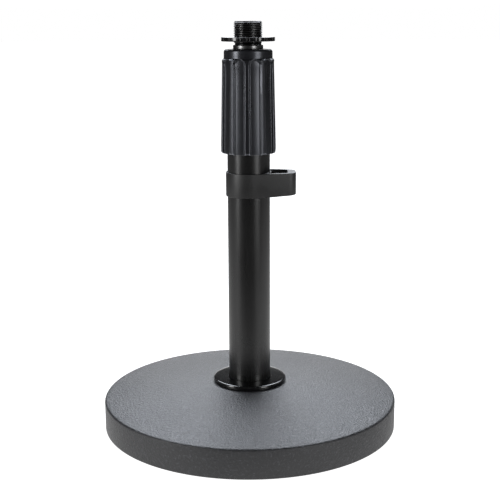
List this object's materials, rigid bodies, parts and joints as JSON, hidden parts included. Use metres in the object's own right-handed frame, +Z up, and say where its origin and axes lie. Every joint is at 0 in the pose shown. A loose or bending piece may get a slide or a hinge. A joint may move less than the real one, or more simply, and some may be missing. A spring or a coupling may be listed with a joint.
{
  "type": "desktop microphone stand",
  "caption": "Weighted round desktop microphone stand with a telescoping mast, twist clutch handle, threaded top with lock ring, and a sliding cable clip.",
  "frame": {"origin": "on the table under the middle of the base", "axes": "+Z up along the mast, +X towards the cable clip's loop, -Y towards the front view"},
  "size_m": [0.17, 0.17, 0.233],
  "materials": {
    "powder_coat": "charcoal powder coat with a fine grain",
    "foot_rubber": "matt",
    "gloss_enamel": "gloss black",
    "satin_enamel": "satin black",
    "zinc_steel": "zinc plated",
    "clutch_brass": "machined",
    "natural_nylon": "unfilled nylon",
    "grip_plastic": "smooth moulded black",
    "black_plated": "black plated steel",
    "clip_nylon": "moulded black nylon"
  },
  "bodies": {
    "stand_base": {"base_casting": "powder_coat", "rubber_foot_1": "foot_rubber", "rubber_foot_2": "foot_rubber", "rubber_foot_3": "foot_rubber", "rubber_foot_4": "foot_rubber", "flange_plate": "gloss_enamel", "outer_tube": "satin_enamel", "tube_foot_plug": "zinc_steel", "base_bolt": "zinc_steel", "spring_washer": "zinc_steel", "flat_washer": "zinc_steel", "clutch_body": "clutch_brass", "clutch_collet": "natural_nylon"},
    "clutch_ring": {"thrust_ring": "natural_nylon"},
    "clutch_handle": {"handle_core": "clutch_brass", "handle_grip": "grip_plastic"},
    "mast_slider": {"guide_bush": "natural_nylon"},
    "mast": {"inner_tube": "satin_enamel", "retaining_ring": "zinc_steel", "thread_adapter": "black_plated", "roll_pin": "zinc_steel"},
    "lock_ring_body": {"lock_ring": "black_plated"},
    "cable_clip_body": {"cable_clip": "clip_nylon"}
  },
  "joints": [
    {"name": "mast_height", "type": "slide", "parent": "stand_base", "child": "mast_slider", "axis": [0, 0, 1], "range_m": [0, 0.1015]},
    {"name": "mast_swivel", "type": "hinge", "parent": "mast_slider", "child": "mast", "pos_m": [0, 0, 0.1], "axis": [0, 0, 1], "continuous": true},
    {"name": "clutch_travel", "type": "slide", "parent": "stand_base", "child": "clutch_ring", "axis": [0, 0, 1], "range_m": [0, 0.0015]},
    {"name": "clutch_turn", "type": "hinge", "parent": "clutch_ring", "child": "clutch_handle", "pos_m": [0, 0, 0.19], "axis": [0, 0, 1], "range_deg": [0, 270]},
    {"name": "lock_ring_travel", "type": "slide", "parent": "mast", "child": "lock_ring_body", "axis": [0, 0, 1], "range_m": [-0.0016, 0.0083]},
    {"name": "cable_clip_slide", "type": "slide", "parent": "stand_base", "child": "cable_clip_body", "axis": [0, 0, 1], "range_m": [-0.1067, 0.01035]}
  ],
  "couplings": [
    {"joint": "clutch_turn", "follows": "clutch_travel", "rad_per_m": 3141.6}
  ]
}
